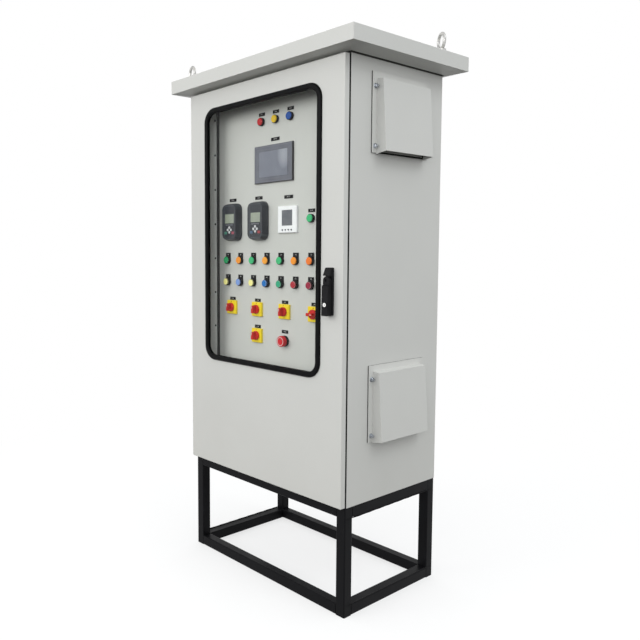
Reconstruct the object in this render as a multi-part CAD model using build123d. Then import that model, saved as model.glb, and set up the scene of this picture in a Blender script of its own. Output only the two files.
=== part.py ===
from build123d import *
from math import radians, sin, tan
import os

# Generator control panel: an outdoor cabinet with a glazed door, on a welded tube stand.
# Millimetres. X to the right, Y to the back, Z up. Origin on the floor under the canopy's middle.

# Cabinet shell
cabinet_width = 800
body_depth = 496
cabinet_height = 1500
sheet = 2
overrun = 1  # how far a cut runs past the face that it opens
running_gap = 0.3  # room between pieces that move on each other
pin_gap = 0.05  # radial room of a pin in its bore

# Tube stand
stand_height = 375
tube = 38
tube_wall = 2.5
tube_corner = 4
stand_inset = 0.5  # set in from the cabinet's sides and back
stand_front_reach = 4  # the front rail stands this far forward of the body, under the door

# Canopy and its rails
canopy_side_overhang = 70
canopy_front_overhang = 45
canopy_back_overhang = 54
canopy_rise = 25
canopy_fascia = 50
canopy_edge = 2
soffit_gap = 8
soffit_lip = 10
soffit_drop = 9  # the soffit slopes down this far from the fascia to its mouth
rail_width = 60
rail_wall = 3
rail_end_gap = 6

# Lifting eyes
eye_ring = 25.5
eye_wire = 5.5
eye_collar = 16
eye_collar_height = 12
eye_centre_up = 39
eye_turns = (-16, -34)  # degrees from the canopy's front: left eye, right eye
eye_shank = 8
eye_shank_gap = 0.5
eye_nut_across = 24
eye_nut_height = 9
eye_edge_inset = 30  # in from the canopy's side
eye_front_inset = 84  # front left eye, in from the canopy's front edge
eye_back_inset = 125  # back right eye, in from the canopy's back edge

# Front frame
frame_rim = 35
frame_lip = 14

# Door pan
door_depth = 22
door_gap = 5
door_sheet = 2
door_edge = 2.5
door_flange = 16
door_top_gap = 6
door_bottom_gap = 2
seal_width = 14

# Window in the door
window_side_margin = 94  # gasket's outer edge in from the door's edges
window_top_margin = 67
window_bottom_margin = 417
window_corner = 56
gasket_width = 20
gasket_proud = 8
gasket_round = 6.5
gasket_cover = 8  # lap over the door sheet and over the pane
gasket_back = 3
pane_thickness = 4

# Door hinges
hinge_side_gap = 0.5
hinge_length = 90
hinge_end_inset = 150
hinge_knuckle = 5.5
hinge_pin = 3
hinge_leaf = 3
hinge_leaf_width = 21

# Swing handle
handle_width = 28
handle_length = 156
handle_seal_gap = 4  # spindle clear of the door seal
handle_middle_up = 713.5  # above the cabinet's bottom
handle_base = 10
handle_corner = 5
head_length = 26
head_height = 23
head_tip_height = 11
head_gap = 2.5
lever_width = 26
lever_seat = 0.5
lever_neck = 23
lever_neck_length = 43
lever_grip = 28.5
lever_tip = 30
lever_corner = 3
lift_relief = 37  # degrees, lets the lever's short end turn towards the base
lift_pin = 2.5
lift_pin_up = 6  # above the base's face
spindle_radius = 6
spindle_gap = 0.1
spindle_head = 10
spindle_head_height = 9
slot_round = 8
lock_radius = 6.5
lock_depth = 12
lock_up = 36  # above the lever's lower end
lock_proud = 0.5
keyway_width = 1.6
keyway_length = 8
cam_thickness = 3
cam_width = 16
cam_reach = 13
cam_behind = 3  # behind the front frame's plate

# Air cowls on the right side
cowl_width = 260
cowl_height = 237
cowl_side_flange = 22
cowl_top_flange = 20
cowl_foot_flange = 3
cowl_top_reach = 26
cowl_foot_reach = 41
cowl_foot_rise = 8  # hood's lip above its wall end
cowl_foot_drop = 7  # hood's wall end below its window
cowl_top_fall = 4  # hood's top slopes down to its face
cowl_gasket = 3
cowl_centre_back = 16  # behind the canopy's middle
upper_cowl_down = 77  # flange's upper edge below the cabinet's top
lower_cowl_up = 203  # flange's lower edge above the cabinet's bottom
air_opening = 160

# Exhaust fan and intake filter
fan_lap = 15
fan_depth = 50
fan_throat_inset = 4
fan_hub = 30
fan_arm = 12
fan_arm_depth = 8
fan_shaft = 4
fan_blades = 5
blade_thickness = 3
blade_tip_gap = 3
blade_pitch = 35
blade_span_share = 0.62  # blade width as a share of the rotor's depth over the sine of its pitch
rotor_depth = 30
filter_lap = 20
filter_depth = 18

# Inner panel and its uprights
panel_setback = 80  # panel face behind the door's face
panel_side_gap = 55  # panel edge in from the cabinet's side
panel_return = 20
panel_end_gap = 45  # panel ends in from the cabinet's floor and top
upright_cover = 71  # face flange reaches this far in from the cabinet's side
upright_wall_flange = 40
edge_seal = 6
edge_seal_width = 31
edge_seal_show = 11

# Pilot devices on the inner panel
column_side_margin = 82.5  # outer columns in from the panel's edges
column_count = 8
phase_row_shift = 8  # phase lamps to the right of the panel's middle
lamps_below_window_top = 71  # each row is measured down from the one above it
touch_below_lamps = 158
meter_below_touch = 206
signals_below_meter = 148
buttons_below_signals = 85
switches_below_buttons = 100
lower_switch_below = 100
stop_below_switches = 108
pilot_radius = 15
pilot_bezel = 10
neck_step = 4
pilot_neck_length = 30
neck_gap = 0.4
lens_rim = 1.5
lens_skirt = 1.5
lens_dome = 2.5
legend_width = 28
legend_up = 29
legend_thickness = 1.5
cap_rim = 2
button_bezel = 10
cap_proud = 5
cap_edge = 1
cap_stem = 5
cap_stem_length = 14
button_travel = 4
bezel_floor = 1.5

# Label plates
label_width = 32
label_height = 12
wide_label_width = 44
label_thickness = 1.2
lamp_label_gap = 6

# Touch screen
touch_width = 200
touch_height = 137
touch_thickness = 8
touch_edge = 1.5
touch_glass_border = 7
touch_glass = 1.5
touch_case_inset = 6
touch_case_depth = 38
touch_label_gap = 13
touch_label_shift = 5

# Drive keypads
keypad_width = 90
keypad_height = 144
keypad_corner = 24
keypad_depth = 30
keypad_step = 12
keypad_taper = 5
keypad_display_width = 52
keypad_display_height = 35
keypad_display_up = 13
display_glass = 1
keypad_label_gap = 8
keypad_label_width = 40
keypad_label_shift = -8
keypad_face_shift = 4  # display and keys to the right of the housing's middle
arrow_key_radius = 5
arrow_reach_x = 9.5
arrow_reach_z = 9
arrows_below_small_keys = 19
start_key_width = 14
start_key_height = 10
start_key_out = 21
starts_below_arrows = 12
small_key_width = 8
small_key_height = 4
small_key_pitch = 11
small_keys_below_display = 6.5
key_proud = 1.5

# Panel meter
meter_size = 96
meter_thickness = 9
meter_edge = 3
meter_case_inset = 3
meter_case_depth = 50
meter_display_width = 53
meter_display_height = 56
meter_display_up = 6
meter_key_radius = 3
meter_key_pitch = 15
meter_key_edge = 11
meter_label_gap = 27

# Rotary selectors
switch_row_shift = -14.5
switch_pitch = 147
switch_plate = 54
switch_plate_thickness = 9
switch_plate_edge = 2
switch_shaft = 5
switch_shaft_gap = 0.1
switch_shaft_length = 24
knob_radius = 17
knob_disc = 8
knob_disc_edge = 2
knob_grip_width = 11
knob_grip_height = 16
knob_grip_edge = 3
switch_label_gap = 1

# Emergency stop
stop_collar_radius = 20
stop_collar = 7
stop_stem = 8
stop_stem_gap = 0.1
stop_wall = 2
stop_stem_length = 20
stop_travel = 4
stop_head_radius = 20
stop_head_thickness = 14
stop_head_edge = 3
stop_bore_depth = 10
stop_label_gap = 8

# Inside the cabinet
plate_side_gap = 50
plate_end_gap = 100
plate_standoff = 40
rail_35_width = 35
rail_35_height = 7.5
rail_35_web = 25
rail_35_wall = 1
rail_35_side_gap = 40
rail_row_shares = (0.2, 0.5, 0.8)  # heights of the mounting rails up the mounting plate
module_width = 36
module_height = 84
module_depth = 66
module_nose = 45
module_nose_out = 9
module_pitch = 45
gland_width = 300
gland_depth = 120
gland_thickness = 3
gland_lap = 20
gland_back_inset = 160

# Places worked out from the sizes above
half_width = cabinet_width / 2
inner_half = half_width - sheet
canopy_half = half_width + canopy_side_overhang
canopy_depth = canopy_front_overhang + door_depth + door_gap + body_depth + canopy_back_overhang
canopy_front = -canopy_depth / 2
canopy_back = canopy_depth / 2
door_front = canopy_front + canopy_front_overhang
door_back = door_front + door_depth
body_front = door_back + door_gap
body_back = body_front + body_depth
body_bottom = stand_height
body_top = body_bottom + cabinet_height
canopy_top = body_top + canopy_rise
canopy_under = canopy_top - sheet
soffit = canopy_top - canopy_fascia
soffit_mouth = soffit - soffit_drop
door_bottom = body_bottom + door_bottom_gap
door_top = soffit_mouth - door_top_gap
opening_half = half_width - frame_rim
opening_bottom = body_bottom + frame_rim
opening_top = door_top - frame_rim
lip_front = body_front - frame_lip
window_width = cabinet_width - 2 * window_side_margin
window_top = door_top - window_top_margin
window_bottom = door_bottom + window_bottom_margin
window_height = window_top - window_bottom
window_middle = (window_top + window_bottom) / 2
panel_face = door_front + panel_setback
panel_half = half_width - panel_side_gap
panel_bottom = body_bottom + panel_end_gap
panel_top = body_top - panel_end_gap
legend_face = panel_face - legend_thickness
bezel_face = legend_face - button_bezel
cowl_middle = cowl_centre_back
eye_places = (
    (-canopy_half + eye_edge_inset, canopy_front + eye_front_inset),
    (canopy_half - eye_edge_inset, canopy_back - eye_back_inset),
)
pilot_neck = pilot_radius - neck_step
lens_radius = pilot_radius - lens_rim
cap_radius = pilot_radius - cap_rim
fan_size = air_opening + 2 * fan_lap
fan_throat = air_opening / 2 - fan_throat_inset
meter_case_size = meter_size - 2 * meter_case_inset
touch_glass_width = touch_width - 2 * touch_glass_border
touch_glass_height = touch_height - 2 * touch_glass_border
column_pitch = 2 * (panel_half - column_side_margin) / (column_count - 1)
columns = [column_pitch * (i - (column_count - 1) / 2) for i in range(column_count)]
switch_columns = [switch_row_shift + switch_pitch * (i - 3 / 2) for i in range(4)]
lamp_row = window_top - lamps_below_window_top
touch_row = lamp_row - touch_below_lamps
meter_row = touch_row - meter_below_touch
signal_row = meter_row - signals_below_meter
button_row = signal_row - buttons_below_signals
switch_row = button_row - switches_below_buttons
keypad_columns = (-3 * column_pitch, -column_pitch)
meter_column = column_pitch
green_lamp = (columns[-2], meter_row)
phase_lamps = [(phase_row_shift + column_pitch * i, lamp_row) for i in (-1, 0, 1)]
signal_lamps = [(x, signal_row) for x in columns]
buttons = [(x, button_row) for x in columns]
switches = [(x, switch_row) for x in switch_columns]
switches.append((switch_columns[1], switch_row - lower_switch_below))
stop_place = (switch_columns[2], switch_row - stop_below_switches)
touch_place = (0, touch_row)
keypads = [(x, meter_row) for x in keypad_columns]
keypad_faces = [(x + keypad_face_shift, meter_row) for x in keypad_columns]
meter_place = (meter_column, meter_row)
seal_inner_half = opening_half + sheet / 2 - seal_width / 2
handle_x = seal_inner_half - spindle_radius - handle_seal_gap
handle_middle = body_bottom + handle_middle_up
handle_low = handle_middle - handle_length / 2
handle_high = handle_middle + handle_length / 2
lever_round = lever_width / 2
spindle_z = handle_high - head_length - head_gap - lever_round
base_face = door_front - handle_base
lever_face = base_face - lever_seat
lift_pin_y = base_face - lift_pin_up
hinge_x = -half_width - hinge_knuckle - hinge_side_gap
hinge_y = door_back + door_gap / 2
hinge_low = door_bottom + hinge_end_inset
hinge_high = door_top - hinge_end_inset
hinge_middles = (hinge_low, (hinge_low + hinge_high) / 2, hinge_high)


# Shapes used all over
def block(x, y, z):
    size = Box(x[1] - x[0], y[1] - y[0], z[1] - z[0])
    return Pos((x[0] + x[1]) / 2, (y[0] + y[1]) / 2, (z[0] + z[1]) / 2) * size


def span(middle, size):
    return middle - size / 2, middle + size / 2


def along_x(outline, left, right):
    return extrude(Plane.YZ.offset(left) * outline, amount=right - left)


def along_y(outline, front, back):
    return extrude(Plane.XZ.offset(-back) * outline, amount=back - front)


def along_z(outline, low, high):
    return extrude(Plane.XY.offset(low) * outline, amount=high - low)


def rod(place, radius, front, back):
    return along_y(Pos(*place) * Circle(radius), front, back)


def rounded(place, width, height, corner):
    return Pos(*place) * RectangleRounded(width, height, corner)


def plate(place, width, height, front, back):
    return along_y(Pos(*place) * Rectangle(width, height), front, back)


def both_sides(low, high):
    return [(-high, -low), (low, high)]


# Welded stand
def stand_tube():
    hollow = tube - 2 * tube_wall
    return RectangleRounded(tube, tube, tube_corner) - Rectangle(hollow, hollow)


def stand_places():
    x = half_width - stand_inset - tube / 2
    front = body_front - stand_front_reach + tube / 2
    back = body_back - stand_inset - tube / 2
    return x, front, back


def stand_legs():
    x, front, back = stand_places()
    places = [(side, y) for side in (-x, x) for y in (front, back)]
    return [along_z(Pos(*place) * stand_tube(), 0, stand_height) for place in places]


def stand_rails():
    x, front, back = stand_places()
    heights = (tube / 2, stand_height - tube / 2)
    rails = []
    for z in heights:
        for y in (front, back):
            rails.append(along_x(Pos(y, z) * stand_tube(), -x + tube / 2, x - tube / 2))
        for side in (-x, x):
            rails.append(along_y(Pos(side, z) * stand_tube(), front + tube / 2, back - tube / 2))
    return rails


# Cabinet shell
def floor_plate():
    depth = (body_front + sheet, body_back - sheet)
    whole = block((-inner_half, inner_half), depth, (body_bottom, body_bottom + sheet))
    gland_y = body_back - gland_back_inset
    hole_half = gland_width / 2 - gland_lap
    hole_y = (gland_y - gland_depth / 2 + gland_lap, gland_y + gland_depth / 2 - gland_lap)
    hole = block((-hole_half, hole_half), hole_y, (body_bottom - overrun, body_bottom + sheet + overrun))
    return whole - hole


def gland_plate():
    gland_y = body_back - gland_back_inset
    depth = (gland_y - gland_depth / 2, gland_y + gland_depth / 2)
    height = (body_bottom + sheet, body_bottom + sheet + gland_thickness)
    return block((-gland_width / 2, gland_width / 2), depth, height)


def side_panel_left():
    return block((-half_width, -inner_half), (body_front, body_back), (body_bottom, body_top))


def cowl_flange_height():
    return cowl_foot_flange + cowl_height + cowl_top_flange


def cowl_bottoms():
    return (body_bottom + lower_cowl_up, body_top - upper_cowl_down - cowl_flange_height())


def air_middle(flange_bottom):
    return flange_bottom + cowl_foot_flange + cowl_height / 2


def side_panel_right():
    wall = block((inner_half, half_width), (body_front, body_back), (body_bottom, body_top))
    for bottom in cowl_bottoms():
        hole = Pos(cowl_middle, air_middle(bottom)) * Rectangle(air_opening, air_opening)
        wall -= along_x(hole, inner_half - overrun, half_width + overrun)
    return wall


def back_panel():
    return block((-inner_half, inner_half), (body_back - sheet, body_back), (body_bottom, body_top))


def top_plate():
    depth = (body_front + sheet, body_back - sheet)
    return block((-inner_half, inner_half), depth, (body_top - sheet, body_top))


def front_frame():
    plate_y = (body_front, body_front + sheet)
    whole = block((-inner_half, inner_half), plate_y, (body_bottom, body_top))
    lip_half = opening_half + sheet
    lip_z = (opening_bottom - sheet, opening_top + sheet)
    whole += block((-lip_half, lip_half), (lip_front, body_front), lip_z)
    opening_y = (lip_front - overrun, body_front + sheet + overrun)
    return whole - block((-opening_half, opening_half), opening_y, (opening_bottom, opening_top))


# Canopy with fascia, sloped soffit and turned-up lip, carried on two roof rails
def level_outline(x, y, height):
    middle = Pos((x[0] + x[1]) / 2, (y[0] + y[1]) / 2)
    return Plane.XY.offset(height) * middle * Rectangle(x[1] - x[0], y[1] - y[0])


def roof_canopy():
    shell = block((-canopy_half, canopy_half), (canopy_front, canopy_back), (soffit, canopy_top))
    shell = fillet(shell.edges().filter_by(Axis.Z) + shell.edges().group_by(Axis.Z)[-1], canopy_edge)
    mouth_x = (-half_width - soffit_gap, half_width + soffit_gap)
    mouth_y = (body_front - soffit_gap, body_back + soffit_gap)
    lip_x = (mouth_x[0] - sheet, mouth_x[1] + sheet)
    lip_y = (mouth_y[0] - sheet, mouth_y[1] + sheet)
    fold_x = (-canopy_half + canopy_edge, canopy_half - canopy_edge)
    fold_y = (canopy_front + canopy_edge, canopy_back - canopy_edge)
    fold = level_outline(fold_x, fold_y, soffit)
    shell += loft([fold, level_outline(lip_x, lip_y, soffit_mouth)], ruled=True)
    inside_x = (-canopy_half + sheet, canopy_half - sheet)
    inside_y = (canopy_front + sheet, canopy_back - sheet)
    shell -= block(inside_x, inside_y, (soffit + sheet, canopy_under))
    hollow = level_outline(inside_x, inside_y, soffit + sheet)
    shell -= loft([hollow, level_outline(lip_x, lip_y, soffit_mouth + sheet)], ruled=True)
    lip_top = soffit_mouth + soffit_lip
    shell += block(lip_x, lip_y, (soffit_mouth, lip_top))
    shell -= block(mouth_x, mouth_y, (soffit_mouth - overrun, lip_top + overrun))
    for place in eye_places:
        hole = Pos(*place) * Circle(eye_shank + eye_shank_gap)
        shell -= along_z(hole, canopy_under - overrun, canopy_top + overrun)
    return shell


def roof_rails():
    rails = []
    for x, y in eye_places:
        rail_half = canopy_half - sheet - rail_end_gap
        width = (y - rail_width / 2, y + rail_width / 2)
        rail = block((-rail_half, rail_half), width, (body_top, canopy_under))
        channel_y = (width[0] + rail_wall, width[1] - rail_wall)
        channel_z = (body_top - overrun, canopy_under - rail_wall)
        rail -= block((-rail_half - overrun, rail_half + overrun), channel_y, channel_z)
        hole = Pos(x, y) * Circle(eye_shank + eye_shank_gap)
        rails.append(rail - along_z(hole, body_top, canopy_top))
    return rails


def lifting_eyes():
    pieces = []
    for (x, y), turn in zip(eye_places, eye_turns):
        ring = Rot(0, 0, turn) * Rot(90, 0, 0) * Torus(eye_ring, eye_wire)
        ring = Pos(x, y, canopy_top + eye_centre_up) * ring
        collar = along_z(Pos(x, y) * Circle(eye_collar), canopy_top, canopy_top + eye_collar_height)
        nut_top = canopy_under - rail_wall
        nut_low = nut_top - eye_nut_height
        shank = along_z(Pos(x, y) * Circle(eye_shank), nut_low, canopy_top)
        nut = RegularPolygon(eye_nut_across / 2, 6, major_radius=False) - Circle(eye_shank)
        pieces.append(ring + collar + shank)
        pieces.append(along_z(Pos(x, y) * nut, nut_low, nut_top))
    return pieces


# Air cowls: a flange on a gasket, and a hood that is open below
def cowl_flange(bottom):
    width = cowl_width + 2 * cowl_side_flange
    height = cowl_flange_height()
    return Pos(cowl_middle, bottom + height / 2) * Rectangle(width, height)


def hood_wedge(bottom, wall):
    low = bottom + cowl_foot_flange - cowl_foot_drop
    high = bottom + cowl_foot_flange + cowl_height - wall
    inner_x = half_width + cowl_gasket
    start = low if wall == 0 else low - overrun
    reach_low = inner_x + cowl_foot_reach - wall
    reach_high = inner_x + cowl_top_reach - wall
    foot = (reach_low, start + cowl_foot_rise)
    brow = (reach_high, high - cowl_top_fall)
    outline = Polyline((inner_x, start), foot, brow, (inner_x, high), close=True)
    half = cowl_width / 2 - wall
    return along_y(make_face(outline), cowl_middle - half, cowl_middle + half)


def vent_cowls():
    cowls = []
    back_x = half_width + cowl_gasket
    for bottom in cowl_bottoms():
        cowl = along_x(cowl_flange(bottom), back_x, back_x + sheet) + hood_wedge(bottom, 0)
        window_z = (bottom + cowl_foot_flange, bottom + cowl_foot_flange + cowl_height - sheet)
        window_half = cowl_width / 2 - sheet
        window_y = (cowl_middle - window_half, cowl_middle + window_half)
        cowl -= hood_wedge(bottom, sheet)
        cowl -= block((back_x - overrun, back_x + 2 * sheet), window_y, window_z)
        cowls.append(cowl)
    return cowls


def vent_gaskets():
    gaskets = []
    for bottom in cowl_bottoms():
        window = Rectangle(cowl_width - 2 * sheet, cowl_height - 2 * sheet)
        window = Pos(cowl_middle, air_middle(bottom)) * window
        gaskets.append(along_x(cowl_flange(bottom) - window, half_width, half_width + cowl_gasket))
    return gaskets


# Exhaust fan behind the upper cowl, intake filter behind the lower one
def fan_places():
    return inner_half - fan_depth, air_middle(cowl_bottoms()[1])


def fan_frame():
    left, z = fan_places()
    here = Pos(cowl_middle, z)
    frame = along_x(here * Rectangle(fan_size, fan_size), left, inner_half)
    frame -= along_x(here * Circle(fan_throat), left - overrun, inner_half + overrun)
    arm_right = left + fan_arm_depth
    cross = Rectangle(2 * fan_throat + fan_arm, fan_arm) + Rectangle(fan_arm, 2 * fan_throat + fan_arm)
    spider = along_x(here * (cross + Circle(fan_hub)), left, arm_right)
    bore = along_x(here * Circle(fan_shaft + pin_gap), left - overrun, arm_right + overrun)
    return frame + spider - bore


def fan_rotor():
    left, z = fan_places()
    low = left + fan_arm_depth + running_gap
    high = low + rotor_depth
    middle = (low + high) / 2
    here = Pos(cowl_middle, z)
    rotor = along_x(here * Circle(fan_hub), low, high)
    rotor += along_x(here * Circle(fan_shaft), left, high)
    span = rotor_depth * blade_span_share / sin(radians(blade_pitch))
    blade_low = fan_hub - blade_thickness
    blade_high = fan_throat - blade_tip_gap
    for i in range(fan_blades):
        blade = Pos(0, 0, (blade_low + blade_high) / 2) * Rot(0, 0, blade_pitch) * Box(
            blade_thickness, span, blade_high - blade_low
        )
        rotor += Pos(middle, cowl_middle, z) * Rot(360 / fan_blades * i, 0, 0) * blade
    return rotor


def intake_filter():
    z = air_middle(cowl_bottoms()[0])
    size = air_opening + 2 * filter_lap
    mat = Pos(cowl_middle, z) * Rectangle(size, size)
    return along_x(mat, inner_half - filter_depth, inner_half)


# Inner panel, screwed behind two uprights
def panel_uprights():
    flange_front = panel_face - edge_seal - sheet
    height = (body_bottom + sheet, body_top - sheet)
    uprights = []
    for wall_x, face_x in (
        ((-inner_half, -inner_half + sheet), (-inner_half, -half_width + upright_cover)),
        ((inner_half - sheet, inner_half), (half_width - upright_cover, inner_half)),
    ):
        face = block(face_x, (flange_front, flange_front + sheet), height)
        uprights.append(face + block(wall_x, (flange_front, flange_front + upright_wall_flange), height))
    return uprights


def panel_edge_seals():
    inner = half_width - upright_cover - edge_seal_show
    outer = inner + edge_seal_width
    depth = (panel_face - edge_seal, panel_face)
    return [block(x, depth, (panel_bottom, panel_top)) for x in both_sides(inner, outer)]


def pilot_places():
    return phase_lamps + [green_lamp] + signal_lamps + buttons


def panel_holes():
    holes = [Pos(*place) * Circle(pilot_neck + neck_gap) for place in pilot_places()]
    holes += [Pos(*place) * Circle(switch_shaft + switch_shaft_gap) for place in switches]
    holes.append(Pos(*stop_place) * Circle(stop_stem + stop_stem_gap + stop_wall + neck_gap))
    touch_hole = 2 * touch_case_inset
    holes.append(Pos(*touch_place) * Rectangle(touch_width - touch_hole, touch_height - touch_hole))
    holes.append(Pos(*meter_place) * Rectangle(meter_case_size, meter_case_size))
    return holes


def inner_panel():
    width = 2 * panel_half
    middle = (panel_bottom + panel_top) / 2
    face = Pos(0, middle) * Rectangle(width, panel_top - panel_bottom)
    for hole in panel_holes():
        face -= hole
    panel = along_y(face, panel_face, panel_face + sheet)
    for x in both_sides(panel_half - sheet, panel_half):
        panel += block(x, (panel_face, panel_face + panel_return), (panel_bottom, panel_top))
    return panel


# Pilot lamps and push buttons
def legend_outline(place):
    x, z = place
    tag = Pos(x, z + legend_up / 2) * Rectangle(legend_width, legend_up)
    return tag + Pos(x, z) * Circle(pilot_radius) - Pos(x, z) * Circle(pilot_neck + neck_gap)


def lamp_places():
    return phase_lamps + [green_lamp] + signal_lamps


def lamp_seat(place):
    return legend_face if place in signal_lamps else panel_face


def lamp_bezels():
    bezels = []
    for place in lamp_places():
        seat = lamp_seat(place)
        ring = rod(place, pilot_radius, seat - pilot_bezel, seat)
        bezels.append(ring + rod(place, pilot_neck, seat, panel_face + pilot_neck_length))
    return bezels


def lamp_lenses():
    lenses = []
    for place in lamp_places():
        seat = lamp_seat(place) - pilot_bezel
        lens = rod(place, lens_radius, seat - lens_skirt - lens_dome, seat)
        lenses.append(fillet(lens.edges().group_by(Axis.Y)[0], lens_dome))
    return lenses


def button_bezels():
    bezels = []
    for place in buttons:
        end = panel_face + pilot_neck_length
        bezel = rod(place, pilot_radius, bezel_face, legend_face) + rod(place, pilot_neck, legend_face, end)
        bezel -= rod(place, cap_radius + running_gap, bezel_face - overrun, legend_face - bezel_floor)
        bezels.append(bezel - rod(place, cap_stem + running_gap, bezel_face, end + overrun))
    return bezels


def button(place):
    cap_back = legend_face - bezel_floor - button_travel - running_gap
    cap = rod(place, cap_radius, bezel_face - cap_proud, cap_back)
    cap = fillet(cap.edges().group_by(Axis.Y)[0], cap_edge)
    return cap + rod(place, cap_stem, cap_back, cap_back + cap_stem_length)


# Engraved plates and legend holders
def label_plates():
    plates = [along_y(legend_outline(place), legend_face, panel_face) for place in signal_lamps + buttons]
    lamp_up = pilot_radius + lamp_label_gap
    tags = [(place, lamp_up, label_width) for place in phase_lamps + [green_lamp]]
    touch_tag = (touch_place[0] + touch_label_shift, touch_place[1])
    tags.append((touch_tag, touch_height / 2 + touch_label_gap, wide_label_width))
    keypad_up = keypad_height / 2 + keypad_label_gap
    tags += [((x + keypad_label_shift, z), keypad_up, keypad_label_width) for x, z in keypads]
    tags.append((meter_place, meter_size / 2 + meter_label_gap, wide_label_width))
    tags += [(place, switch_plate / 2 + switch_label_gap, label_width) for place in switches]
    tags.append((stop_place, stop_collar_radius + stop_label_gap, label_width))
    for (x, z), up, width in tags:
        middle = (x, z + up + label_height / 2)
        plates.append(plate(middle, width, label_height, panel_face - label_thickness, panel_face))
    return plates


# Touch screen
def touch_screen_case():
    front = panel_face - touch_thickness
    case = plate(touch_place, touch_width, touch_height, front, panel_face)
    case = fillet(case.edges().group_by(Axis.Y)[0], touch_edge)
    inset = 2 * touch_case_inset
    back = panel_face + touch_case_depth
    case += plate(touch_place, touch_width - inset, touch_height - inset, panel_face, back)
    recess_back = front + touch_glass
    return case - plate(touch_place, touch_glass_width, touch_glass_height, front - overrun, recess_back)


def touch_screen_glass():
    front = panel_face - touch_thickness
    return plate(touch_place, touch_glass_width, touch_glass_height, front, front + touch_glass)


# Drive keypads: a deep housing with a tapered rim, display window and keys
def keypad_front():
    return panel_face - keypad_depth


def keypad_housings():
    housings = []
    step_y = panel_face - keypad_step
    for place, (x, z) in zip(keypads, keypad_faces):
        foot = rounded(place, keypad_width, keypad_height, keypad_corner)
        face_width = keypad_width - 2 * keypad_taper
        face_height = keypad_height - 2 * keypad_taper
        face = rounded(place, face_width, face_height, keypad_corner - keypad_taper / 2)
        rim = loft([Plane.XZ.offset(-step_y) * foot, Plane.XZ.offset(-keypad_front()) * face])
        housing = along_y(foot, step_y, panel_face) + rim
        window = ((x, z + keypad_display_up), keypad_display_width, keypad_display_height)
        housings.append(housing - plate(*window, keypad_front() - overrun, keypad_front() + display_glass))
    return housings


def display_windows():
    glasses = []
    for x, z in keypad_faces:
        window = ((x, z + keypad_display_up), keypad_display_width, keypad_display_height)
        glasses.append(plate(*window, keypad_front(), keypad_front() + display_glass))
    x, z = meter_place
    front = panel_face - meter_thickness
    window = ((x, z + meter_display_up), meter_display_width, meter_display_height)
    glasses.append(plate(*window, front, front + display_glass))
    return glasses


def panel_keys():
    keys = []
    back = keypad_front()
    front = back - key_proud
    for x, z in keypad_faces:
        small_z = z + keypad_display_up - keypad_display_height / 2 - small_keys_below_display
        arrow_z = small_z - arrows_below_small_keys
        start_z = arrow_z - starts_below_arrows
        for dx, dz in ((0, 1), (0, -1), (-1, 0), (1, 0)):
            middle = (x + dx * arrow_reach_x, arrow_z + dz * arrow_reach_z)
            keys.append(rod(middle, arrow_key_radius, front, back))
        for side in (-start_key_out, start_key_out):
            keys.append(plate((x + side, start_z), start_key_width, start_key_height, front, back))
        for step in key_steps():
            middle = (x + step * small_key_pitch, small_z)
            keys.append(plate(middle, small_key_width, small_key_height, front, back))
    x, z = meter_place
    meter_front = panel_face - meter_thickness
    key_z = z - meter_size / 2 + meter_key_edge
    for step in key_steps():
        middle = (x + step * meter_key_pitch, key_z)
        keys.append(rod(middle, meter_key_radius, meter_front - key_proud, meter_front))
    return keys


def key_steps():
    return (-3 / 2, -1 / 2, 1 / 2, 3 / 2)


def meter_case():
    front = panel_face - meter_thickness
    case = plate(meter_place, meter_size, meter_size, front, panel_face)
    case = fillet(case.edges().group_by(Axis.Y)[0], meter_edge)
    case += plate(meter_place, meter_case_size, meter_case_size, panel_face, panel_face + meter_case_depth)
    x, z = meter_place
    window = ((x, z + meter_display_up), meter_display_width, meter_display_height)
    return case - plate(*window, front - overrun, front + display_glass)


# Rotary selectors
def switch_plates():
    plates = []
    for place in switches:
        front = panel_face - switch_plate_thickness
        body = plate(place, switch_plate, switch_plate, front, panel_face)
        body = fillet(body.edges().group_by(Axis.Y)[0] + body.edges().filter_by(Axis.Y), switch_plate_edge)
        bore = switch_shaft + switch_shaft_gap
        plates.append(body - rod(place, bore, front - overrun, panel_face + overrun))
    return plates


def switch_knob(place, grip_turn):
    back = panel_face - switch_plate_thickness - running_gap
    disc_front = back - knob_disc
    grip_front = disc_front - knob_grip_height
    x, z = place
    knob = rod(place, knob_radius, disc_front, back)
    knob = fillet(knob.edges().group_by(Axis.Y)[0], knob_disc_edge)
    grip_round = knob_radius - knob_disc_edge
    grip = Rot(0, 0, grip_turn) * Rectangle(knob_grip_width, 2 * knob_radius) & Circle(grip_round)
    grip = along_y(Pos(x, z) * grip, grip_front, disc_front)
    grip = fillet(grip.edges().group_by(Axis.Y)[0], knob_grip_edge)
    shaft = rod(place, switch_shaft, back, back + switch_shaft_length)
    return knob + grip + shaft


# Emergency stop
def stop_collar_node():
    front = panel_face - stop_collar
    collar = rod(stop_place, stop_collar_radius, front, panel_face)
    neck = stop_stem + stop_stem_gap + stop_wall
    collar += rod(stop_place, neck, panel_face, panel_face + stop_stem_length)
    back = panel_face + stop_stem_length
    return collar - rod(stop_place, stop_stem + stop_stem_gap, front - overrun, back + overrun)


def stop_head_back():
    return panel_face - stop_collar - stop_travel - running_gap


def stop_plunger():
    tip = stop_head_back() - stop_bore_depth + running_gap
    return rod(stop_place, stop_stem, tip, panel_face + stop_stem_length - stop_travel)


def stop_head():
    back = stop_head_back()
    front = back - stop_head_thickness
    head = rod(stop_place, stop_head_radius, front, back)
    head = fillet(head.edges().group_by(Axis.Y)[0], stop_head_edge)
    return head - rod(stop_place, stop_stem + pin_gap, back - stop_bore_depth, back + overrun)


# Door pan with its window
def window_outline(inset):
    width = window_width - 2 * inset
    return rounded((0, window_middle), width, window_height - 2 * inset, window_corner - inset)


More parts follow.
